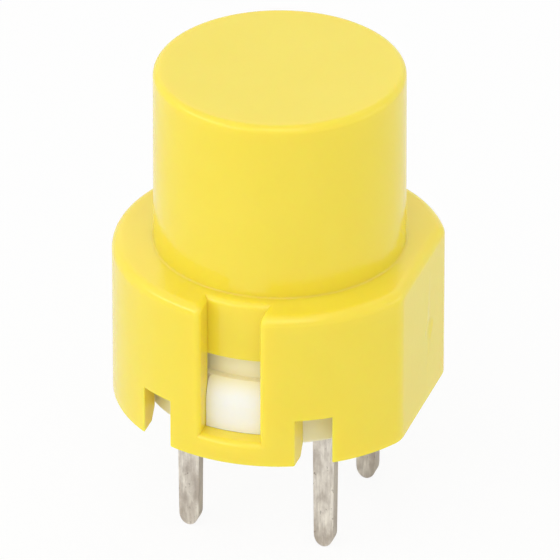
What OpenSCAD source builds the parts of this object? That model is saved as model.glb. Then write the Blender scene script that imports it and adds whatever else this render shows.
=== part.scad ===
// Round push-button key switch for circuit boards: a moulded cap snapped over a
// low housing, a coil spring, a plunger and a snap dome over two staple-shaped
// terminals with two blade pins each.
// Millimetres. The origin is on the axis, in the plane of the board's top face.
// The snap windows face -Y and +Y, the collar's flat faces +X.

/* [Button] */
// Diameter of the round button at its top
button_d = 9.0; // [8.4:0.1:9.6]
// Height of the button above the collar
button_h = 6.85; // [5:0.05:9]
// Radius of the edge round the button's top
button_edge_r = 0.28; // [0.1:0.02:0.6]
// Radius that the button gains from its top to its foot
button_draft = 0.02; // [0.01:0.01:0.1]
// Wall thickness of the hollow button
button_wall = 0.9; // [0.7:0.05:1.1]
// Thickness of the button's top
button_top_t = 1.0; // [0.6:0.05:1.5]
// Outer diameter of the stem that guides the spring
stem_d = 2.4; // [2:0.05:2.6]
// Diameter of the hole up the stem
stem_bore_d = 1.2; // [0.6:0.05:1.4]

/* [Collar] */
// Diameter of the collar
collar_d = 12.0; // [11.6:0.1:13]
// Wall left between the skirt's bore and the collar's flat
flat_wall = 0.33; // [0.25:0.01:0.6]
// Height of the collar
collar_h = 6.05; // [5.6:0.05:7]
// Radius of the collar's upper edge
collar_edge_r = 0.4; // [0.2:0.02:0.5]
// Radius of the upright edges where the flat meets the round
flat_corner_r = 0.8; // [0.3:0.05:1.2]
// Gap between the housing and the skirt's bore
skirt_gap = 0.17; // [0.12:0.01:0.3]
// Height of the space inside the skirt
cavity_h = 3.76; // [3.6:0.02:4.2]
// Width of the bevel inside the skirt's lower edge
skirt_bevel_w = 0.26; // [0.1:0.02:0.4]
// Height of that bevel
skirt_bevel_h = 0.45; // [0.2:0.05:0.6]
// Plastic left round and above the pockets that core the collar's thick ring
collar_core_t = 0.8; // [0.7:0.05:0.9]

/* [Snap windows] */
// Width of the slot down the collar
slot_w = 2.20; // [2:0.02:3]
// Height of the snap bar under the window
bar_h = 0.9; // [0.7:0.05:1]
// Radius of the slot's edges at the collar's top and on the bar
slot_edge_r = 0.25; // [0.1:0.05:0.35]
// Distance from the middle to the near side of each skirt notch
notch_x = 2.33; // [2:0.01:2.5]
// Width of each skirt notch
notch_w = 1.17; // [0.8:0.01:1.4]
// Height of each skirt notch
notch_h = 1.85; // [1:0.05:2.2]

/* [Housing] */
// Height of the housing's rim above the board
standoff_h = 1.62; // [1.5:0.02:2.2]
// Outer diameter of the housing
housing_d = 9.8; // [9.6:0.02:9.9]
// Thickness of the housing's outer wall
housing_wall = 0.7; // [0.5:0.05:0.74]
// Height of the hooks' catching faces above the rim
hook_rise = 0.63; // [0.5:0.01:0.8]
// How far the hooks stand out of the housing
hook_reach = 0.37; // [0.3:0.01:0.5]
// Height of the hooks' lead-in ramps
hook_ramp_h = 0.5; // [0.3:0.05:0.9]
// Radius of the hooks' upper corners
hook_corner_r = 0.45; // [0.2:0.05:0.7]
// Gap between a hook and each side of its slot
hook_side_gap = 0.09; // [0.04:0.01:0.2]
// Travel of the cap
stroke = 0.9; // [0.6:0.05:1]
// Gap left between roof and housing at the end of the stroke
stop_gap = 0.02; // [0.01:0.01:0.1]
// Plastic left round and under the pockets that core the housing
housing_core_t = 0.6; // [0.5:0.05:0.7]

/* [Terminal block] */
// Thickness of the block that holds the terminals
block_t = 0.9; // [0.85:0.05:1.1]
// Gap round the block in the housing
block_gap = 0.04; // [0.02:0.01:0.08]
// Length of the foot rib along X
foot_rib_x = 8.2; // [7:0.1:8.2]
// Length of the foot rib along Y
foot_rib_y = 6.6; // [5:0.1:8]
// Thickness of the foot ribs
foot_rib_t = 1.2; // [0.8:0.1:1.6]
// Diameter of the round foot in the middle
foot_d = 4.2; // [3:0.1:4.4]

/* [Terminals] */
// Spacing of the pins along X and Y
pin_pitch = 5.08; // [4.9:0.02:5.12]
// Width of a pin at its root
pin_w = 0.83; // [0.6:0.01:0.84]
// Width of a pin where its rounded tip starts
pin_tip_w = 0.73; // [0.5:0.01:0.78]
// Length of a pin's rounded tip
pin_tip_h = 0.5; // [0.3:0.05:0.8]
// Length of the pins below the board's top face
pin_len = 3.45; // [2.5:0.05:5]
// Thickness of the terminals' strip
strip_t = 0.5; // [0.4:0.02:0.54]
// Inner radius of the strip's bends
bend_r = 0.15; // [0.1:0.05:0.3]
// Plastic above the strips
strip_cover = 0.2; // [0.15:0.05:0.25]
// Diameter of the centre contact
contact_d = 0.9; // [0.6:0.05:1.2]
// Height of the centre contact above the block
contact_rise = 0.07; // [0.03:0.01:0.12]

/* [Dome, plunger and spring] */
// Diameter of the snap dome
dome_d = 4.2; // [3.8:0.05:4.24]
// Height of the snap dome
dome_h = 0.42; // [0.38:0.01:0.5]
// Thickness of the snap dome
dome_t = 0.1; // [0.08:0.01:0.12]
// Room above and beside the dome
dome_room = 0.13; // [0.1:0.01:0.2]
// Diameter of the plunger's foot
foot_pin_d = 1.6; // [1.4:0.05:1.8]
// Radial running clearance of the foot in its guide
guide_gap = 0.05; // [0.03:0.01:0.08]
// Diameter of the plunger's flange
flange_d = 5.0; // [4.4:0.1:5.6]
// Thickness of the plunger's flange
flange_t = 0.45; // [0.4:0.05:0.6]
// Height of the spigot that centres the spring
spigot_h = 1.3; // [0.8:0.1:2]
// Wire diameter of the spring
wire_d = 0.3; // [0.2:0.02:0.36]
// Mean diameter of the spring
coil_d = 3.2; // [3.1:0.05:3.6]
// Number of turns in the spring
turns = 9; // [7:1:12]

/* [Hidden] */
$fn = 96;

eps = 0.01;          // how far a cut runs past the face that it opens
window_lap = 0.02;   // how far the slot's floor lies inside the skirt's bore
lead = 0.12;         // small lead-in bevels
spring_gap = 0.05;   // radial room between the spring and what centres it
rest_gap = 0.05;     // room under the flange at the end of the plunger's travel
ear_lap = 0.6;       // how far the ring contact reaches in under the dome's rim
ear_w = 2.4;         // width of the ring contact
dome_flat = 0.03;    // how much the dome's crown is flattened

// Heights of the main faces above the board
rim_z = standoff_h;
floor_z = rim_z + block_t;
hook_z = rim_z + hook_rise;
skirt_z = hook_z - bar_h;
roof_z = skirt_z + cavity_h;
housing_top_z = roof_z - stroke - stop_gap;
collar_z = skirt_z + collar_h;
top_z = collar_z + button_h;
ceiling_z = top_z - button_top_t;
strip_z = floor_z - strip_cover - strip_t;
dome_top_z = floor_z + dome_h;
chamber_z = dome_top_z + dome_room;
plunger_travel = dome_h - dome_t - contact_rise;
flange_z = housing_top_z + plunger_travel + rest_gap;
seat_z = flange_z + flange_t;
stem_z = seat_z + spigot_h + stroke - plunger_travel + dome_room;

// Radii that fit one piece to the next
collar_r = collar_d / 2;
housing_r = housing_d / 2;
skirt_bore_r = housing_r + skirt_gap;
flat_x = skirt_bore_r + flat_wall;
slot_floor_r = skirt_bore_r - window_lap;
button_bore_r = button_d / 2 - button_wall;
housing_bore_r = housing_r - housing_wall;
block_r = housing_bore_r - block_gap;
hook_r = housing_r + hook_reach;
hook_w = slot_w - 2 * hook_side_gap;
guide_r = foot_pin_d / 2 + guide_gap;
spigot_d = coil_d - wire_d - 2 * spring_gap;
far_r = collar_r + 1;   // past the collar, for cuts that open outwards
core_angle = 100;       // sweep of each coring pocket, centred on the X axis

// A plate in the XZ plane, thick along Y and centred on it
module upright(t) {
  rotate([90, 0, 0]) linear_extrude(t, center = true) children();
}

// Both the -Y and the +Y copy
module both_windows() {
  for (a = [0, 180]) rotate(a) children();
}

// A curved pocket on the -X and on the +X side
module core_pockets(r0, r1, z0, z1) {
  both_windows() rotate(-core_angle / 2) rotate_extrude(angle = core_angle)
    translate([r0, z0]) square([r1 - r0, z1 - z0]);
}

// Half section of a round body with a rounded upper edge
module round_topped_half(r_top, r_foot, z0, z1, edge_r) {
  difference() {
    polygon([[0, z0], [r_foot, z0], [r_top, z1 - edge_r], [r_top, z1], [0, z1]]);
    translate([r_top - edge_r, z1 - edge_r]) difference() {
      square(edge_r + 1);
      circle(edge_r);
    }
  }
}

// Plan of the collar: a circle with a flat on +X, rounded where they meet
module collar_plan() {
  corner_x = flat_x - flat_corner_r;
  corner_y = sqrt(max(0, (collar_r - flat_corner_r) ^ 2 - corner_x ^ 2));
  angle = atan2(corner_y, corner_x);
  reach = 3 * flat_corner_r;
  difference() {
    intersection() {
      circle(collar_r);
      translate([-collar_d, -collar_d]) square([collar_d + flat_x, 2 * collar_d]);
    }
    for (y = [-1, 1]) scale([1, y])
      translate([corner_x, corner_y]) difference() {
        polygon([[0, 0], [reach, 0], [reach, reach],
                 [reach * cos(angle), reach * sin(angle)]]);
        circle(flat_corner_r);
      }
  }
}

// Slot down the collar, from the bar's top up through the collar's top,
// as deep as the skirt's bore, with a rounded upper edge on its floor
module slot_cut() {
  intersection() {
    rotate_extrude() difference() {
      translate([slot_floor_r - slot_edge_r, hook_z])
        square([far_r - slot_floor_r, collar_z - hook_z + 1]);
      translate([0, hook_z - 1])
        square([slot_floor_r, collar_z - slot_edge_r - hook_z + 1]);
      translate([slot_floor_r - slot_edge_r, collar_z - slot_edge_r])
        circle(slot_edge_r);
    }
    translate([-slot_w / 2, -far_r, hook_z - 1])
      cube([slot_w, far_r, collar_h + 2]);
  }
}

// The pair of notches beside one snap bar
module notch_cuts() {
  for (side = [-1, 1])
    translate([side * (notch_x + notch_w / 2), -collar_r / 2, skirt_z + notch_h / 2])
      cube([notch_w, collar_r, notch_h + eps], center = true);
}

module cap() {
  color([0.95, 0.85, 0.30]) union() {
    difference() {
      union() {
        intersection() {
          rotate_extrude()
            round_topped_half(collar_r, collar_r, skirt_z, collar_z, collar_edge_r);
          translate([0, 0, skirt_z]) linear_extrude(collar_h) collar_plan();
        }
        rotate_extrude()
          round_topped_half(button_d / 2, button_d / 2 + button_draft,
                            collar_z - 1, top_z, button_edge_r);
      }
      // Space inside the skirt, with its bevelled mouth
      rotate_extrude() polygon([
        [0, skirt_z - 1], [skirt_bore_r + skirt_bevel_w, skirt_z - 1],
        [skirt_bore_r + skirt_bevel_w, skirt_z], [skirt_bore_r, skirt_z + skirt_bevel_h],
        [skirt_bore_r, roof_z], [0, roof_z]]);
      // Bore of the button
      cylinder(h = ceiling_z, r = button_bore_r);
      // Pockets that leave the ring between button and skirt an even wall
      core_pockets(button_bore_r + collar_core_t, skirt_bore_r,
                   roof_z - eps, collar_z - collar_core_t);
      both_windows() slot_cut();
      both_windows() notch_cuts();
    }
    // Stem that guides the spring
    translate([0, 0, stem_z]) difference() {
      cylinder(h = ceiling_z - stem_z + eps, d = stem_d);
      translate([0, 0, -eps]) cylinder(h = ceiling_z - stem_z, d = stem_bore_d);
    }
  }
}

// One hook: a ramped lip that stands out of the housing through the window
module hook() {
  intersection() {
    rotate_extrude() polygon([
      [housing_bore_r, hook_z], [hook_r, hook_z],
      [hook_r, housing_top_z - hook_ramp_h], [housing_r, housing_top_z],
      [housing_bore_r, housing_top_z]]);
    translate([0, -housing_r, 0]) upright(housing_r) {
      translate([-hook_w / 2, 0])
        square([hook_w, housing_top_z - hook_corner_r]);
      translate([hook_corner_r - hook_w / 2, 0])
        square([hook_w - 2 * hook_corner_r, housing_top_z]);
      for (side = [-1, 1])
        translate([side * (hook_w / 2 - hook_corner_r), housing_top_z - hook_corner_r])
          circle(hook_corner_r);
    }
  }
}

module housing() {
  color([0.96, 0.95, 0.91]) difference() {
    union() {
      rotate_extrude() polygon([
        [0, rim_z], [housing_r - lead, rim_z], [housing_r, rim_z + lead],
        [housing_r, housing_top_z], [0, housing_top_z]]);
      both_windows() hook();
    }
    // Seat for the terminal block
    translate([0, 0, rim_z - 1]) cylinder(h = block_t + 1, r = housing_bore_r);
    // Chamber for the dome
    cylinder(h = chamber_z, r = dome_d / 2 + dome_room);
    // Guide for the plunger's foot
    cylinder(h = housing_top_z + 1, r = guide_r);
    // Pockets that leave the top an even wall
    core_pockets(dome_d / 2 + dome_room + housing_core_t, housing_bore_r,
                 floor_z + housing_core_t, housing_top_z + 1);
  }
}

// Half of a terminal's side view: strip, bend and leg
module leg_side() {
  outer_y = pin_pitch / 2 + strip_t / 2;
  outer_r = bend_r + strip_t;
  top_z = strip_z + strip_t;
  translate([0, strip_z]) square([outer_y - outer_r, strip_t]);
  translate([outer_y - strip_t, -pin_len])
    square([strip_t, top_z - outer_r + pin_len]);
  translate([outer_y - outer_r, top_z - outer_r]) difference() {
    intersection() {
      circle(outer_r);
      square(outer_r);
    }
    circle(bend_r);
  }
}

// Front view of a pin: a slightly tapered blade with an elliptical tip
module pin_front() {
  steps = 14;
  tip = [for (i = [0 : steps]) let (a = 180 + 180 * i / steps)
    [pin_tip_w / 2 * cos(a), pin_tip_h * (1 + sin(a)) - pin_len]];
  polygon(concat([[-pin_w / 2, rim_z]], tip, [[pin_w / 2, rim_z]]));
  translate([-pin_w / 2, rim_z]) square([pin_w, block_t]);
}

// A staple-shaped strip along Y with a pin at each end, centred on X = 0
module staple() {
  intersection() {
    rotate([90, 0, 90]) linear_extrude(2 * pin_w, center = true)
      for (m = [0, 1]) mirror([m, 0]) leg_side();
    upright(pin_pitch + 2) pin_front();
  }
}

// Carries the centre contact on a tab from its strip
module left_terminal() {
  color([0.78, 0.75, 0.70]) union() {
    translate([-pin_pitch / 2, 0, 0]) staple();
    translate([-pin_pitch / 2, -contact_d / 2, strip_z])
      cube([pin_pitch / 2, contact_d, strip_t]);
    translate([0, 0, strip_z]) cylinder(h = strip_t, d = contact_d);
    translate([0, 0, strip_z + strip_t / 2])
      cylinder(h = floor_z + contact_rise - strip_z - strip_t / 2, d = contact_d * 0.7);
  }
}

// Carries the ring contact, an ear set up flush with the block's top
module right_terminal() {
  ear_x = dome_d / 2 - ear_lap;
  color([0.78, 0.75, 0.70]) union() {
    translate([pin_pitch / 2, 0, 0]) staple();
    translate([ear_x, -ear_w / 2, floor_z - strip_t])
      cube([pin_pitch / 2 - ear_x, ear_w, strip_t]);
  }
}

module terminal_block() {
  color([0.96, 0.95, 0.91]) difference() {
    union() {
      translate([0, 0, rim_z]) cylinder(h = block_t, r = block_r);
      cylinder(h = rim_z + eps, d = foot_d);
      for (size = [[foot_rib_x, foot_rib_t], [foot_rib_t, foot_rib_y]])
        translate([0, 0, (rim_z + eps) / 2])
          cube([size[0], size[1], rim_z + eps], center = true);
    }
    left_terminal();
    right_terminal();
  }
}

module snap_dome() {
  rise = dome_h - dome_t;
  inner_r = ((dome_d / 2) ^ 2 + rise ^ 2) / (2 * rise);
  color([0.80, 0.80, 0.78]) translate([0, 0, floor_z]) rotate_extrude() difference() {
    intersection() {
      square([dome_d / 2, dome_h]);
      translate([0, rise - inner_r]) circle(inner_r + dome_t + dome_flat);
    }
    translate([0, rise - inner_r]) circle(inner_r);
  }
}

module plunger() {
  color([0.86, 0.88, 0.90]) rotate_extrude() polygon([
    [0, dome_top_z],
    [foot_pin_d / 2 - lead, dome_top_z], [foot_pin_d / 2, dome_top_z + lead],
    [foot_pin_d / 2, flange_z], [flange_d / 2, flange_z],
    [flange_d / 2, seat_z], [spigot_d / 2, seat_z],
    [spigot_d / 2, seat_z + spigot_h - 2 * lead],
    [spigot_d / 2 - 2 * lead, seat_z + spigot_h], [0, seat_z + spigot_h]]);
}

// Coil with a closed turn at each end, swept as an eight-sided wire
module return_spring() {
  sides = 8;
  steps = 20;
  rings = turns * steps;
  z0 = seat_z + wire_d / 2;
  z1 = ceiling_z - wire_d / 2;
  open_pitch = (z1 - z0 - 2 * wire_d) / (turns - 2);
  // Height of the wire's centre after t turns
  function wire_z(t) = t < 1 ? z0 + wire_d * t
    : t > turns - 1 ? z1 - wire_d * (turns - t)
    : z0 + wire_d + open_pitch * (t - 1);
  points = [for (i = [0 : rings], j = [0 : sides - 1])
    let (turn = i / steps, a = 360 * turn, b = 360 * (j + 0.5) / sides,
         r = coil_d / 2 + wire_d / 2 * cos(b))
    [r * cos(a), r * sin(a), wire_z(turn) + wire_d / 2 * sin(b)]];
  faces = concat(
    [[for (j = [0 : sides - 1]) j]],
    [for (i = [0 : rings - 1], j = [0 : sides - 1])
      let (a = i * sides + j, b = i * sides + (j + 1) % sides)
      [a, a + sides, b + sides, b]],
    [[for (j = [sides - 1 : -1 : 0]) rings * sides + j]]);
  color([0.70, 0.71, 0.72]) polyhedron(points, faces, convexity = 10);
}

cap();
housing();
terminal_block();
left_terminal();
right_terminal();
snap_dome();
plunger();
return_spring();
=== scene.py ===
import bpy
import bmesh
import math
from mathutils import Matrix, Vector


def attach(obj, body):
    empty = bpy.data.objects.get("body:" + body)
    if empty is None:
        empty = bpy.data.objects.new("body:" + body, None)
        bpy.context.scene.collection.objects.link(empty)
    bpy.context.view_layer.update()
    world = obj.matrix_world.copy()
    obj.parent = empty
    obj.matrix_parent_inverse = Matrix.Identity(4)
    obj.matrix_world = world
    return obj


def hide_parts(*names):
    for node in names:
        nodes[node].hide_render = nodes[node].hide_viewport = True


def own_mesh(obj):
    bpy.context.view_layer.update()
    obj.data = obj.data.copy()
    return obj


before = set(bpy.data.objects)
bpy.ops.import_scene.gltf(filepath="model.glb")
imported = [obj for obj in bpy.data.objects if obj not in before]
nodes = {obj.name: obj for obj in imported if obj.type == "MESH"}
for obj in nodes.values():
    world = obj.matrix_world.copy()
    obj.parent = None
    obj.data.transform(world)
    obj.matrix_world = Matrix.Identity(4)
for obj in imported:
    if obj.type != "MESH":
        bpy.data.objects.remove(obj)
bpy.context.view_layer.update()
mm = 0.001
print("frame loaded:", ", ".join(sorted(nodes)))


class Signal:
    # a node's output that works in plain maths
    def __init__(self, board, socket):
        self.board = board
        self.socket = socket

    def maths(self, operation, first, second=0):
        return self.board.node("ShaderNodeMath", {"operation": operation}, {0: first, 1: second})

    def __add__(self, other):
        return self.maths("ADD", self, other)

    def __radd__(self, other):
        return self.maths("ADD", other, self)

    def __sub__(self, other):
        return self.maths("SUBTRACT", self, other)

    def __rsub__(self, other):
        return self.maths("SUBTRACT", other, self)

    def __mul__(self, other):
        return self.maths("MULTIPLY", self, other)

    def __rmul__(self, other):
        return self.maths("MULTIPLY", other, self)

    def __abs__(self):
        return self.maths("ABSOLUTE", self)

    def __or__(self, other):
        return self.maths("MAXIMUM", self, other)


class Board:
    # puts nodes into the tree of a world or a material
    def __init__(self, tree):
        self.tree = tree

    def node(self, kind, settings=None, sockets=None, out=0):
        made = self.tree.nodes.new(kind)
        for key, value in (settings or {}).items():
            if key == "stops":
                self.fillRamp(made.color_ramp, value)
            else:
                setattr(made, key, value)
        for key, value in (sockets or {}).items():
            self.feed(made.inputs[key], value)
        return Signal(self, made.outputs[out])

    def fillRamp(self, ramp, stops):
        while len(ramp.elements) < len(stops):
            ramp.elements.new(0.5)
        for element, (place, colour) in zip(ramp.elements, stops):
            element.position = place
            element.color = colour

    def feed(self, socket, value):
        if isinstance(value, Signal):
            self.tree.links.new(value.socket, socket)
        else:
            socket.default_value = value

    def ray(self, kind):
        return self.node("ShaderNodeLightPath", out=f"Is {kind} Ray")


class Finish(Board):
    # a material round Blender's own plastic and metal shader
    def __init__(self, name, constants):
        self.material = bpy.data.materials.new(name)
        self.material.use_nodes = True
        super().__init__(self.material.node_tree)
        self.shader = self.tree.nodes["Principled BSDF"]
        self.shaded = Signal(self, self.shader.outputs[0])
        for socket, value in constants.items():
            self.shader.inputs[socket].default_value = value
        self.place = self.node("ShaderNodeTexCoord", out="Object")
        self.faceWay = self.node("ShaderNodeTexCoord", out="Normal")

    def set(self, name, value):
        self.feed(self.shader.inputs[name], value)

    def show(self, shader):
        self.feed(self.tree.nodes["Material Output"].inputs["Surface"], shader)

    def noise(self, size, detail=3, rough=0.5, stretch=(1, 1, 1)):
        # fine mottling with features about size millimetres wide
        scaled = self.node("ShaderNodeVectorMath", {"operation": "MULTIPLY"},
                           {0: self.place, 1: tuple(s / (size * mm) for s in stretch)})
        return self.node("ShaderNodeTexNoise", {}, {"Vector": scaled, "Scale": 1.0,
                                                    "Detail": detail, "Roughness": rough})

    def fade(self, factor, *stops):
        # shares of white at places along factor, with even slopes between them
        greys = [(at, (share, share, share, 1)) for at, share in stops]
        return self.node("ShaderNodeValToRGB", {"stops": greys}, {"Fac": factor})

    def blend(self, factor, first, second):
        colours = {"Factor": factor, 6: first, 7: second}
        return self.node("ShaderNodeMix", {"data_type": "RGBA"}, colours, out=2)

    def bump(self, height, depth, strength=1.0):
        return self.node("ShaderNodeBump", {}, {"Height": height, "Distance": depth * mm,
                                                "Strength": strength}, out="Normal")


def linear(r, g, b):
    # a screen colour, 0 to 255, as the shader wants it
    def channel(c):
        c = c / 255
        return c / 12.92 if c <= 0.04045 else ((c + 0.055) / 1.055) ** 2.4

    return (channel(r), channel(g), channel(b), 1)


studio = {  # metres
    "azimuth": 17.846,           # degrees round from the front
    "elevation": 29.546,         # degrees above the horizon
    "distance": 0.400,           # metres from the aim point
    "aim": (0.0000074, 0.0000024, 0.0056013),
    "lens": 718.8,
    "floorZ": -0.00345,          # the pins' tips stand on it
    "floorSize": 2.4,
    "floorColour": (0.90, 0.90, 0.89, 1),
    "floorGlow": 0.90,           # how much of the floor's own white the camera sees
    "skyDiffuse": 0.755,         # light from the sky on the object
    "skySeen": 1.0,              # and what the camera, gloss and clear plastic see
}

lamps = {  # direction from the object, distance, width and height, watts
    "keyLamp": ((-0.75, -0.35, 0.80), 0.45, (0.40, 0.30), 0.06),
    "frontLamp": ((0.25, -0.65, 0.85), 0.45, (0.30, 0.30), 0.34),
    "backLamp": ((-0.25, 0.85, 0.55), 0.50, (0.60, 0.25), 0.10),
    "leftStrip": ((-0.62, -0.60, 0.50), 0.50, (0.60, 0.02), 0.60),
    "rightStrip": ((0.94, 0.34, 0.20), 0.50, (0.45, 0.02), 0.14),
}


def makeCamera():
    turn = math.radians(studio["azimuth"])
    rise = math.radians(studio["elevation"])
    back = Vector((math.sin(turn) * math.cos(rise), -math.cos(turn) * math.cos(rise), math.sin(rise)))
    data = bpy.data.cameras.new("productCamera")
    data.lens = studio["lens"]
    data.sensor_width = 36
    data.clip_start = 0.01
    data.clip_end = 20
    camera = bpy.data.objects.new("productCamera", data)
    bpy.context.scene.collection.objects.link(camera)
    camera.location = Vector(studio["aim"]) + back * studio["distance"]
    camera.rotation_mode = "QUATERNION"
    camera.rotation_quaternion = (-back).to_track_quat("-Z", "Y")
    bpy.context.scene.camera = camera


def makeLamps():
    for name, (direction, distance, size, watts) in lamps.items():
        way = Vector(direction).normalized()
        data = bpy.data.lights.new(name, "AREA")
        data.shape = "RECTANGLE"
        data.size = size[0]
        data.size_y = size[1]
        data.energy = watts
        lamp = bpy.data.objects.new(name, data)
        bpy.context.scene.collection.objects.link(lamp)
        lamp.location = Vector(studio["aim"]) + way * distance
        lamp.rotation_mode = "QUATERNION"
        lamp.rotation_quaternion = (-way).to_track_quat("-Z", "Y")


def makeSky():
    # an even dome that the camera, gloss and clear plastic see as white
    world = bpy.data.worlds.new("studioSky")
    bpy.context.scene.world = world
    world.use_nodes = True
    board = Board(world.node_tree)
    background = world.node_tree.nodes["Background"]
    background.inputs["Color"].default_value = (1, 1, 1, 1)
    seen = board.ray("Camera") | board.ray("Glossy") | board.ray("Transmission")
    glow = studio["skySeen"] - studio["skyDiffuse"]
    board.feed(background.inputs["Strength"], studio["skyDiffuse"] + glow * seen)


def makeFloor():
    bpy.ops.object.select_all(action="DESELECT")
    bpy.ops.mesh.primitive_plane_add(size=studio["floorSize"], location=(0, 0, studio["floorZ"]))
    floor = bpy.context.object
    floor.name = "studioFloor"
    finish = Finish("paleFloor", {"Base Color": studio["floorColour"], "Roughness": 0.9,
                                  "Specular IOR Level": 0.0})
    share = studio["floorGlow"] * finish.ray("Camera")
    glow = finish.node("ShaderNodeEmission")
    lit = finish.node("ShaderNodeMixShader", {}, {0: share, 1: finish.shaded, 2: glow})
    # clear from below, so that the underside can be looked at
    below = finish.node("ShaderNodeNewGeometry", out="Backfacing")
    clear = finish.node("ShaderNodeBsdfTransparent")
    finish.show(finish.node("ShaderNodeMixShader", {}, {0: below, 1: lit, 2: clear}))
    floor.data.materials.append(finish.material)


bpy.context.scene.view_settings.view_transform = "Standard"
makeCamera()
makeLamps()
makeSky()
makeFloor()
print("camera, lamps, sky and floor made")


capPlastic = {
    "deep": (241, 221, 66),      # screen colours
    "pale": (244, 224, 76),
    "cloud": 2.5,                # sizes of the mottling and the grain
    "grain": 0.16,
    "grainDepth": 0.006,
    "glow": 0.35,                # how far light travels in the plastic
}


def capYellow():
    c = capPlastic
    finish = Finish("capYellow", {"IOR": 1.5, "Subsurface Weight": 1.0, "Subsurface Scale": c["glow"] * mm,
                                  "Subsurface Radius": (1.0, 0.8, 0.35)})
    cloud = finish.noise(c["cloud"], detail=2)
    grain = finish.noise(c["grain"], detail=3, rough=0.6)
    finish.set("Base Color", finish.blend(cloud, linear(*c["deep"]), linear(*c["pale"])))
    finish.set("Roughness", 0.13 + 0.10 * grain)
    finish.set("Normal", finish.bump(grain, c["grainDepth"], 0.5))
    return finish.material


housingPlastic = {
    "deep": (245, 243, 237),
    "pale": (249, 248, 244),
    "paintedCapLight": (254, 240, 206),     # painted yellow light from the cap, laid on the rim and the low ribs behind the hooks
    "paintedLightFrom": 4.10,            # distances from the axis
    "paintedLightFull": (4.25, 4.925),
    "paintedLightTo": 5.20,
    "cloud": 1.6,
    "grain": 0.12,
    "grainDepth": 0.005,
    "glow": 0.05,
}


def housingWhite():
    h = housingPlastic
    finish = Finish("housingWhite", {"IOR": 1.5, "Subsurface Weight": 1.0, "Subsurface Scale": h["glow"] * mm,
                                     "Subsurface Radius": (1.0, 0.9, 0.7)})
    cloud = finish.noise(h["cloud"], detail=2)
    grain = finish.noise(h["grain"], detail=3)
    white = finish.blend(cloud, linear(*h["deep"]), linear(*h["pale"]))
    # reach is the distance from the axis in centimetres, which stays between 0 and 1
    flat = finish.node("ShaderNodeVectorMath", {"operation": "MULTIPLY"},
                       {0: finish.place, 1: (0.1 / mm, 0.1 / mm, 0)})
    reach = finish.node("ShaderNodeVectorMath", {"operation": "LENGTH"}, {0: flat}, out="Value")
    # painted yellow light: in a band round the axis the white turns towards the cap's yellow, standing for
    # light bounced from and shining through the cap
    paintedCapLight = finish.fade(reach, (h["paintedLightFrom"] / 10, 0), (h["paintedLightFull"][0] / 10, 1),
                       (h["paintedLightFull"][1] / 10, 1), (h["paintedLightTo"] / 10, 0))
    finish.set("Base Color", finish.blend(paintedCapLight, white, linear(*h["paintedCapLight"])))
    finish.set("Roughness", 0.46 + 0.12 * grain)
    finish.set("Normal", finish.bump(grain, h["grainDepth"], 0.5))
    return finish.material


tinPlate = {
    "dull": (194, 185, 177),
    "bright": (248, 243, 236),
    "drawn": (168, 157, 148),    # streaks along the strip
    "stain": (120, 108, 100),
    "sheared": (186, 178, 168),  # the stamped edges, which are not tinned
    "streak": 0.09,
    "blotch": 0.42,
    "speck": 0.11,
    "depth": 0.010,
}


def tinnedStrip():
    t = tinPlate
    finish = Finish("tinnedStrip", {"Metallic": 1.0})
    streak = finish.noise(t["streak"], detail=4, rough=0.6, stretch=(1, 1, 0.10))
    blotch = finish.noise(t["blotch"], detail=4, rough=0.62, stretch=(1, 1, 0.45))
    speck = finish.noise(t["speck"], detail=2, stretch=(1, 1, 0.6))
    tone = finish.blend(finish.fade(blotch, (0.36, 0), (0.66, 1)), linear(*t["dull"]), linear(*t["bright"]))
    tone = finish.blend(0.45 * finish.fade(streak, (0.40, 0), (0.70, 1)), tone, linear(*t["drawn"]))
    tone = finish.blend(0.6 * finish.fade(speck, (0.26, 1), (0.34, 0)), tone, linear(*t["stain"]))
    across = abs(finish.node("ShaderNodeSeparateXYZ", {}, {"Vector": finish.faceWay}, out="X"))
    sheared = finish.fade(across, (0.55, 0), (0.85, 1))
    finish.set("Base Color", finish.blend(0.7 * sheared, tone, linear(*t["sheared"])))
    finish.set("Roughness", 0.34 + 0.16 * streak + 0.14 * sheared)
    finish.set("Normal", finish.bump(streak + 0.6 * blotch, t["depth"], 0.6))
    return finish.material


def springSteel():
    finish = Finish("springSteel", {"Metallic": 1.0})
    draw = finish.noise(0.05, detail=3, rough=0.6)
    finish.set("Base Color", finish.blend(draw, linear(196, 196, 198), linear(214, 214, 216)))
    finish.set("Roughness", 0.22 + 0.14 * draw)
    return finish.material


def plungerNatural():
    finish = Finish("plungerNatural", {"IOR": 1.48, "Subsurface Weight": 0.3, "Subsurface Scale": 0.6 * mm})
    cloud = finish.noise(1.2, detail=2)
    finish.set("Base Color", finish.blend(cloud, linear(222, 224, 220), linear(232, 233, 230)))
    finish.set("Roughness", 0.40 + 0.12 * finish.noise(0.15))
    return finish.material


finishes = {
    "cap_plastic": capYellow(),
    "housing_plastic": housingWhite(),
    "tinned_metal": tinnedStrip(),
    "spring_steel": springSteel(),
    "plunger_plastic": plungerNatural(),
}
print("finishes made")


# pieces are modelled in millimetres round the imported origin, and brought to metres when they are done

def activate(piece):
    bpy.ops.object.select_all(action="DESELECT")
    piece.select_set(True)
    bpy.context.view_layer.objects.active = piece


def edit(piece):
    activate(piece)
    bpy.ops.object.mode_set(mode="EDIT")


def leaveEdit():
    bpy.ops.object.mode_set(mode="OBJECT")


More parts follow.
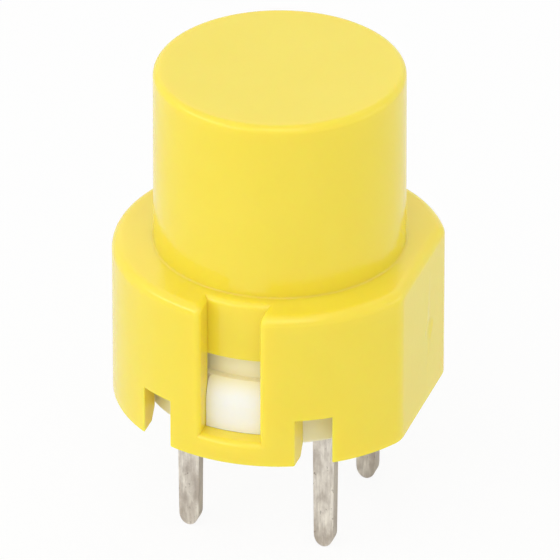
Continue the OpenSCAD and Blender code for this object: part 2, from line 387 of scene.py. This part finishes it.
def pick(piece, kind, test):
    # in edit mode, selects the vertices, edges or faces for which test holds
    bpy.ops.mesh.select_mode(type=kind)
    bpy.ops.mesh.select_all(action="DESELECT")
    mesh = bmesh.from_edit_mesh(piece.data)
    group = {"VERT": mesh.verts, "EDGE": mesh.edges, "FACE": mesh.faces}[kind]
    found = [element for element in group if test(element)]
    for element in found:
        element.select_set(True)
    bmesh.update_edit_mesh(piece.data)
    return len(found)


def radius(point):
    return math.hypot(point.x, point.y)


def sweep(point):
    # degrees away from the X axis, 0 to 90
    return math.degrees(math.atan2(abs(point.y), abs(point.x)))


def near(a, b, slack=0.004):
    return abs(a - b) < slack


def bothEnds(edge, test):
    return all(test(vertex.co) for vertex in edge.verts)


def sharp(edge, degrees=25):
    return len(edge.link_faces) == 2 and edge.calc_face_angle(0) > math.radians(degrees)


def upright(edge, slack=0.002):
    # runs up the wall or across its top, at one place round the axis
    a, b = (vertex.co for vertex in edge.verts)
    return abs(a.x * b.y - a.y * b.x) < slack * radius(a) * radius(b)


def drawProfile(name, points):
    # a line of points (radius, height) drawn vertex by vertex
    bpy.ops.object.select_all(action="DESELECT")
    bpy.ops.mesh.primitive_plane_add(size=1, location=(0, 0, 0))
    piece = bpy.context.object
    piece.name = name
    edit(piece)
    bpy.ops.mesh.select_mode(type="VERT")
    bpy.ops.mesh.select_all(action="SELECT")
    bpy.ops.mesh.merge(type="CENTER")
    bpy.ops.transform.translate(value=(points[0][0], 0, points[0][1]))
    for (r0, z0), (r1, z1) in zip(points, points[1:]):
        bpy.ops.mesh.extrude_vertices_move(TRANSFORM_OT_translate={"value": (r1 - r0, 0, z1 - z0)})
    return piece


def spinProfile(piece, steps):
    bpy.ops.mesh.select_all(action="SELECT")
    bpy.ops.mesh.spin(steps=steps, angle=2 * math.pi, center=(0, 0, 0), axis=(0, 0, 1))
    bpy.ops.mesh.select_all(action="SELECT")
    bpy.ops.mesh.remove_doubles(threshold=0.001)
    bpy.ops.mesh.normals_make_consistent(inside=False)


def bevelEdges(piece, test, offset, segments):
    count = pick(piece, "EDGE", test)
    bpy.ops.mesh.bevel(offset=offset, segments=segments, affect="EDGES", clamp_overlap=False)
    return count


def raiseFaces(piece, test, height):
    pick(piece, "FACE", test)
    bpy.ops.mesh.extrude_region_move(TRANSFORM_OT_translate={"value": (0, 0, height)})


def addModifier(piece, kind, **settings):
    modifier = piece.modifiers.new(kind.lower(), kind)
    for key, value in settings.items():
        setattr(modifier, key, value)
    return modifier


def applyModifiers(piece):
    activate(piece)
    for modifier in list(piece.modifiers):
        bpy.ops.object.modifier_apply(modifier=modifier.name)


def combine(piece, tool, operation="DIFFERENCE"):
    addModifier(piece, "BOOLEAN", object=tool, operation=operation, solver="EXACT")
    applyModifiers(piece)


def discard(piece):
    mesh = piece.data
    bpy.data.objects.remove(piece)
    bpy.data.meshes.remove(mesh)


def makeBox(name, low, high):
    bpy.ops.object.select_all(action="DESELECT")
    bpy.ops.mesh.primitive_cube_add(size=1, location=[(a + b) / 2 for a, b in zip(low, high)],
                                    scale=[b - a for a, b in zip(low, high)])
    box = bpy.context.object
    box.name = name
    settle(box)
    return box


def makeDisc(name, r, low, high, steps):
    bpy.ops.object.select_all(action="DESELECT")
    bpy.ops.mesh.primitive_cylinder_add(vertices=steps, radius=r, depth=high - low,
                                        location=(0, 0, (low + high) / 2))
    disc = bpy.context.object
    disc.name = name
    settle(disc)
    return disc


def settle(piece):
    activate(piece)
    bpy.ops.object.transform_apply(location=True, rotation=True, scale=True)


def turnRound(piece):
    # half a turn about the axis, for the far window
    piece.rotation_euler = (0, 0, math.pi)
    settle(piece)


def finishPiece(piece, body, slotName, *stoodFor, angle=30):
    # to metres, soft normals, material, body and node
    activate(piece)
    piece.scale = (mm, mm, mm)
    bpy.ops.object.transform_apply(location=True, rotation=True, scale=True)
    bpy.ops.object.shade_smooth_by_angle(angle=math.radians(angle))
    addModifier(piece, "WEIGHTED_NORMAL", mode="FACE_AREA", weight=50, keep_sharp=True)
    applyModifiers(piece)
    piece.data.materials.clear()
    piece.data.materials.append(finishes[slotName])
    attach(piece, body)
    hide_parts(*stoodFor)
    print(piece.name, "made,", len(piece.data.polygons), "faces")


cap = {  # millimetres: an R is a radius, a Z a height and an X a distance from the middle
    "steps": 144,
    "buttonTopR": 4.50,
    "buttonFootR": 4.52,         # the button tapers a little
    "topZ": 14.25,
    "collarR": 6.0,
    "collarZ": 7.40,
    "flatX": 5.4,
    "skirtZ": 1.35,              # the skirt's lower rim
    "mouthR": 5.33,              # the skirt's bore opens towards the rim
    "mouthZ": 1.80,
    "boreR": 5.07,
    "roofZ": 5.11,               # under side of the ring between skirt and button
    "coreR": 4.40,               # pockets that keep the ring's walls even
    "coreZ": 6.60,
    "coreSweep": 50,             # degrees to each side of the X axis
    "ribR": (4.28, 4.68),        # groove in the roof behind each slot, for the housing's rib
    "ribZ": 6.20,
    "ribSweep": 30,              # degrees to each side of the slot
    "buttonBoreR": 3.6,          # the button is hollow, with a stem for the spring
    "ceilingZ": 13.25,
    "stemR": 1.2,
    "stemZ": 7.02,
    "stemBoreR": 0.6,
    "slotX": 1.10,
    "slotFloorR": 5.05,
    "barZ": 2.25,                # the hooks catch on this bar
    "notchX": (2.33, 3.50),
    "notchZ": 3.20,
    "collarEdge": 0.40,          # rounded edges
    "edgeSteps": 7,
    "buttonEdge": 0.28,
    "creaseEdge": 0.08,
    "slotEdge": 0.25,
    "smallEdge": 0.06,
    "flatCorner": 1.20,
    "flatLines": 6,              # lines of the wall on each half of the flat
    "gateAt": (5.4, 0.65, 4.20),
    "gateR": 0.46,
    "gateDeep": 0.05,
}


def capBody():
    c = cap
    piece = drawProfile("movingCap", [
        (0, c["topZ"]), (c["buttonTopR"], c["topZ"]), (c["buttonFootR"], c["collarZ"]),
        (c["collarR"], c["collarZ"]), (c["collarR"], c["skirtZ"]), (c["mouthR"], c["skirtZ"]),
        (c["boreR"], c["mouthZ"]), (c["boreR"], c["roofZ"]), (c["ribR"][1], c["roofZ"]),
        (c["coreR"], c["roofZ"]), (c["ribR"][0], c["roofZ"]), (c["buttonBoreR"], c["roofZ"]),
        (c["buttonBoreR"], c["ceilingZ"]), (c["stemR"], c["ceilingZ"]), (c["stemR"], c["stemZ"]),
        (c["stemBoreR"], c["stemZ"]), (c["stemBoreR"], c["ceilingZ"]), (0, c["ceilingZ"])])
    spinProfile(piece, c["steps"])
    # the fans that close the button's top and the stem's bore become one face each
    for height in (c["topZ"], c["ceilingZ"]):
        pick(piece, "FACE", lambda f: near(f.calc_center_median().z, height)
             and any(radius(v.co) < 0.01 for v in f.verts))
        bpy.ops.mesh.dissolve_faces()
    return piece


def capEdges(piece):
    c = cap

    def loop(r, z):
        return lambda e: sharp(e) and bothEnds(e, lambda p: near(p.z, z) and near(radius(p), r))

    bevelEdges(piece, loop(c["collarR"], c["collarZ"]), c["collarEdge"], c["edgeSteps"])
    bevelEdges(piece, loop(c["buttonTopR"], c["topZ"]), c["buttonEdge"], 6)
    bevelEdges(piece, loop(c["buttonFootR"], c["collarZ"]), c["creaseEdge"], 3)


def capFlat(piece):
    # lines of the collar's wall and rounded edge move, ring by ring, to the flat and its round corners
    c = cap
    lineTurn = 2 * math.pi / c["steps"]
    centreX = c["flatX"] - c["flatCorner"]
    centreY = math.sqrt((c["collarR"] - c["flatCorner"]) ** 2 - centreX ** 2)
    cornerTurn = math.atan2(centreY, centreX)
    lines = round(cornerTurn / lineTurn)
    places = {}
    for vertex in bmesh.from_edit_mesh(piece.data).verts:
        line = round(abs(math.atan2(vertex.co.y, vertex.co.x)) / lineTurn)
        if line <= lines and radius(vertex.co) > c["collarR"] - c["collarEdge"] - 0.01:
            places.setdefault((round(radius(vertex.co), 3), line), set()).add(vertex.index)
    for (ring, line), group in places.items():
        inset = c["collarR"] - ring
        turn = cornerTurn * max(0, line - c["flatLines"]) / (lines - c["flatLines"])
        x = centreX + (c["flatCorner"] - inset) * math.cos(turn)
        y = centreY + (c["flatCorner"] - inset) * math.sin(turn)
        if line <= c["flatLines"]:
            y = centreY * line / c["flatLines"]
        pick(piece, "VERT", lambda v: v.index in group)
        bpy.ops.transform.translate(value=(x - ring * math.cos(line * lineTurn), 0, 0))
        if line:
            grow = y / (ring * math.sin(line * lineTurn))
            bpy.ops.transform.resize(value=(1, grow, 1), center_override=(0, 0, 0))


def capCoring(piece):
    c = cap

    def inPocket(face):
        p = face.calc_center_median()
        return near(p.z, c["roofZ"]) and radius(p) > c["coreR"] - 0.03 and sweep(p) < c["coreSweep"]

    def inGroove(face):
        p = face.calc_center_median()
        between = c["ribR"][0] - 0.01 < radius(p) < c["ribR"][1]
        return near(p.z, c["roofZ"]) and between and sweep(p) > 90 - c["ribSweep"]

    raiseFaces(piece, inPocket, c["coreZ"] - c["roofZ"])
    raiseFaces(piece, inGroove, c["ribZ"] - c["roofZ"])


def capClearLines(piece):
    # lines that lie too close to the slots' and notches' edges make room for their rounding
    c = cap

    def onTop(point):
        return near(point.z, c["collarZ"]) and radius(point) > c["buttonFootR"] + 0.02

    def lineX(edge):
        # where a line meets the collar's wall, for the front and the back only
        a = edge.verts[0].co
        return abs(a.x) * c["collarR"] / radius(a) if abs(a.y) > 3 else 0

    # the collar's top is one plain face round each slot
    pick(piece, "EDGE", lambda e: bothEnds(e, onTop) and upright(e) and 0 < lineX(e) < 2.2
         or bothEnds(e, onTop) and upright(e) and near(e.verts[0].co.x, 0))
    bpy.ops.mesh.dissolve_edges(use_verts=False)

    def crowded(edge):
        if not upright(edge) or not bothEnds(edge, lambda p: radius(p) > c["mouthR"] - 0.02 or onTop(p)):
            return False
        x = lineX(edge)
        return near(x, c["slotX"], 0.32) and x > c["slotX"] or any(near(x, k, 0.1) for k in c["notchX"])

    pick(piece, "EDGE", crowded)
    bpy.ops.mesh.dissolve_edges(use_verts=True)


def capOpenings(piece):
    # the tools reach well past the wall, and a core keeps the slot's floor
    c = cap
    leaveEdit()
    slot = makeBox("slotTool", (-c["slotX"], -8, c["barZ"]), (c["slotX"], -3, 9))
    core = makeDisc("slotCore", c["slotFloorR"], 0, 12, c["steps"])
    combine(slot, core)
    discard(core)
    for turn in (0, 1):
        combine(piece, slot)
        turnRound(slot)
    discard(slot)
    for side in (-1, 1):
        for front in (-1, 1):
            xs = sorted(side * x for x in c["notchX"])
            ys = sorted(front * y for y in (3, 7))
            notch = makeBox("notchTool", (xs[0], ys[0], 0), (xs[1], ys[1], c["notchZ"]))
            combine(piece, notch)
            discard(notch)


def capSlotEdges(piece):
    # the whole loop round each slot: its sides, the top of its floor and the top of the bar
    c = cap
    edit(piece)

    def outside(p):
        return radius(p) > c["collarR"] - 0.03 or p.z > c["collarZ"] - c["collarEdge"] - 0.03

    def onFloor(p):
        return near(radius(p), c["slotFloorR"], 0.01)

    def onBar(p):
        return near(p.z, c["barZ"])

    def onSide(p):
        return near(abs(p.x), c["slotX"]) and p.z > c["barZ"] - 0.01

    def onLoop(edge):
        if not sharp(edge, 20):
            return False
        if bothEnds(edge, onSide):
            return bothEnds(edge, outside) and not bothEnds(edge, onFloor) and not bothEnds(edge, onBar)
        floorTop = bothEnds(edge, lambda p: onFloor(p) and near(p.z, c["collarZ"]))
        return floorTop or bothEnds(edge, lambda p: radius(p) > c["collarR"] - 0.03 and onBar(p))

    print("slot loop edges", bevelEdges(piece, onLoop, c["slotEdge"], 5))


def capSmallEdges(piece):
    # the skirt's rim and the notches, clear of the slots' own rounding
    c = cap

    def low(p):
        inSlot = abs(p.x) < c["slotX"] + 0.3 and p.z > c["barZ"] - 0.3
        return p.z < c["notchZ"] + 0.01 and radius(p) > c["boreR"] - 0.03 and not inSlot

    def onRim(edge):
        return sharp(edge, 30) and edge.is_convex and bothEnds(edge, low)

    print("small edges", bevelEdges(piece, onRim, c["smallEdge"], 2))
    leaveEdit()


def capGateMark(piece):
    # a shallow round dimple in the flat, cut with a large ball
    c = cap
    ball = (c["gateR"] ** 2 + c["gateDeep"] ** 2) / (2 * c["gateDeep"])
    x, y, z = c["gateAt"]
    bpy.ops.object.select_all(action="DESELECT")
    bpy.ops.mesh.primitive_uv_sphere_add(segments=96, ring_count=64, radius=ball,
                                         location=(x + ball - c["gateDeep"], y, z))
    tool = bpy.context.object
    tool.name = "gateTool"
    settle(tool)
    combine(piece, tool)
    discard(tool)


def makeCap():
    piece = capBody()
    capEdges(piece)
    capFlat(piece)
    capCoring(piece)
    capClearLines(piece)
    capOpenings(piece)
    capSlotEdges(piece)
    capSmallEdges(piece)
    capGateMark(piece)
    finishPiece(piece, "cap", "cap_plastic", "cap")


makeCap()


housing = {
    "steps": 144,
    "r": 4.90,
    "boreR": 4.20,               # open below, for the block with the terminals
    "rimZ": 1.62,
    "rimBevel": 0.12,
    "floorZ": 2.52,
    "topZ": 4.19,
    "chamberR": 2.23,            # room for the dome and the plunger's foot
    "chamberZ": 3.07,
    "guideR": 0.85,
    "coreR": 2.83,               # pockets in the top
    "coreZ": 3.12,
    "coreSweep": 50,
    "ribR": (4.34, 4.63),        # low wall behind each hook
    "ribTopZ": 5.20,
    "ribSweep": 26,
    "hookR": 5.27,
    "hookX": 1.09,
    "hookInR": 4.3,              # its root, inside the wall
    "hookSteps": 288,
    "hookZ": 2.24,
    "rampZ": 3.69,               # the hook's face leans back above this
    "rampEdge": 0.45,
    "hookCorner": 0.20,
}


def housingBody():
    h = housing
    piece = drawProfile("housingShell", [
        (h["guideR"], h["topZ"]), (h["coreR"], h["topZ"]), (h["boreR"], h["topZ"]),
        (h["ribR"][0], h["topZ"]), (h["ribR"][1], h["topZ"]), (h["r"], h["topZ"]),
        (h["r"], h["rimZ"] + h["rimBevel"]), (h["r"] - h["rimBevel"], h["rimZ"]), (h["boreR"], h["rimZ"]),
        (h["boreR"], h["floorZ"]), (h["chamberR"], h["floorZ"]), (h["chamberR"], h["chamberZ"]),
        (h["guideR"], h["chamberZ"]), (h["guideR"], h["topZ"])])
    spinProfile(piece, h["steps"])

    def inCore(face):
        p = face.calc_center_median()
        return near(p.z, h["topZ"]) and h["coreR"] < radius(p) < h["boreR"] and sweep(p) < h["coreSweep"]

    def onRib(face):
        p = face.calc_center_median()
        between = h["ribR"][0] < radius(p) < h["ribR"][1]
        return near(p.z, h["topZ"]) and between and sweep(p) > 90 - h["ribSweep"]

    raiseFaces(piece, inCore, h["coreZ"] - h["topZ"])
    raiseFaces(piece, onRib, h["ribTopZ"] - h["topZ"])
    leaveEdit()
    return piece


def makeHook():
    # a block with rounded upper corners, trimmed to a ring with a soft ramp
    h = housing
    block = makeBox("hookBlock", (-h["hookX"], -5.6, h["hookZ"]), (h["hookX"], -4.5, h["topZ"]))
    edit(block)
    bevelEdges(block, lambda e: bothEnds(e, lambda p: near(p.z, h["topZ"]) and near(abs(p.x), h["hookX"]))
               and near(e.verts[0].co.x, e.verts[1].co.x), h["hookCorner"], 8)
    leaveEdit()
    ring = drawProfile("hookRing", [
        (h["hookInR"], h["hookZ"] - 0.1), (h["hookR"], h["hookZ"] - 0.1), (h["hookR"], h["rampZ"]),
        (h["r"], h["topZ"]), (h["hookInR"], h["topZ"] + 0.1), (h["hookInR"], h["hookZ"] - 0.1)])
    spinProfile(ring, h["hookSteps"])
    bevelEdges(ring, lambda e: sharp(e) and bothEnds(e, lambda p: near(p.z, h["rampZ"])), h["rampEdge"], 6)
    leaveEdit()
    combine(block, ring, "INTERSECT")
    discard(ring)
    return block


def makeHousing():
    piece = housingBody()
    hook = makeHook()
    for turn in (0, 1):
        combine(piece, hook, "UNION")
        turnRound(hook)
    discard(hook)
    finishPiece(piece, "base", "housing_plastic", "housing")


makeHousing()


spring = {
    "coilR": 1.60,
    "wireR": 0.15,
    "wireSides": 12,
    "turns": 9,
    "stepsPerTurn": 32,
    "lowZ": 5.09,
    "highZ": 13.10,
    "seatZ": 4.94,
    "keep": 0.922,               # share of its length left when the cap is down
}


def makeCoil(name, startZ, turns, rise):
    bpy.ops.object.select_all(action="DESELECT")
    bpy.ops.mesh.primitive_circle_add(vertices=spring["wireSides"], radius=spring["wireR"],
                                      location=(spring["coilR"], 0, startZ), rotation=(math.pi / 2, 0, 0))
    coil = bpy.context.object
    coil.name = name
    settle(coil)
    addModifier(coil, "SCREW", angle=2 * math.pi, screw_offset=rise, iterations=turns, axis="Z",
                steps=spring["stepsPerTurn"], render_steps=spring["stepsPerTurn"], use_normal_calculate=True)
    applyModifiers(coil)
    return coil


def makeSpring():
    # a closed turn at each end and open coils between them
    w = spring
    wire = 2 * w["wireR"]
    openZ = w["lowZ"] + wire
    openRise = (w["highZ"] - w["lowZ"] - 2 * wire) / (w["turns"] - 2)
    piece = makeCoil("pressSpring", w["lowZ"], 1, wire)
    middle = makeCoil("openCoils", openZ, w["turns"] - 2, openRise)
    last = makeCoil("lastCoil", w["highZ"] - wire, 1, wire)
    bpy.ops.object.select_all(action="DESELECT")
    for part in (middle, last, piece):
        part.select_set(True)
    bpy.context.view_layer.objects.active = piece
    bpy.ops.object.join()
    edit(piece)
    bpy.ops.mesh.select_all(action="SELECT")
    bpy.ops.mesh.remove_doubles(threshold=0.002)
    for end in (w["lowZ"], w["highZ"]):
        pick(piece, "EDGE", lambda e: e.is_boundary and bothEnds(e, lambda p: abs(p.z - end) < 0.2))
        bpy.ops.mesh.edge_face_add()
    bpy.ops.mesh.select_all(action="SELECT")
    bpy.ops.mesh.normals_make_consistent(inside=False)
    leaveEdit()
    finishPiece(piece, "plunger", "spring_steel", "return_spring", angle=50)
    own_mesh(piece)


makeSpring()


dome = {
    "steps": 72,
    "rings": 10,                 # rings of faces from the crown to the rim
    "r": 2.10,
    "rise": 0.42,
    "thick": 0.10,
    "lowZ": 2.52,
    "flatR": 0.55,               # the crown is a little flatter
    "keep": 0.405,               # share of its height left when it has snapped down
}


def makeDome():
    d = dome
    skin = d["rise"] - d["thick"]
    ball = (d["r"] ** 2 + skin ** 2) / (2 * skin)

    def arc(r, extra):
        # height of the under side, or of the upper side with the sheet's thickness
        return d["lowZ"] + skin - ball + math.sqrt((ball + extra) ** 2 - max(r, d["flatR"]) ** 2)

    radii = [d["r"] * ring / d["rings"] for ring in range(d["rings"] + 1)]
    under = [(r, max(arc(r, 0), d["lowZ"])) for r in reversed(radii)]
    over = [(r, min(arc(r, d["thick"]), d["lowZ"] + d["rise"])) for r in radii]
    piece = drawProfile("snapDisc", over + under)
    spinProfile(piece, d["steps"])
    leaveEdit()
    finishPiece(piece, "base", "spring_steel", "snap_dome")
    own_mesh(piece)


makeDome()


keptShapes = {  # node: material slot and width of its rounded edges in millimetres
    "terminal_block": ("housing_plastic", 0.05),
    "left_terminal": ("tinned_metal", 0.05),
    "right_terminal": ("tinned_metal", 0.05),
    "plunger": ("plunger_plastic", 0.04),
}

for name, (slotName, edge) in keptShapes.items():
    node = nodes[name]
    node.data.materials.clear()
    node.data.materials.append(finishes[slotName])
    addModifier(node, "WELD", merge_threshold=0.001 * mm)
    addModifier(node, "BEVEL", width=edge * mm, segments=3, limit_method="ANGLE",
                angle_limit=math.radians(40), use_clamp_overlap=True, miter_outer="MITER_ARC")
    addModifier(node, "WEIGHTED_NORMAL", mode="FACE_AREA", weight=50, keep_sharp=True)
print("kept shapes dressed")
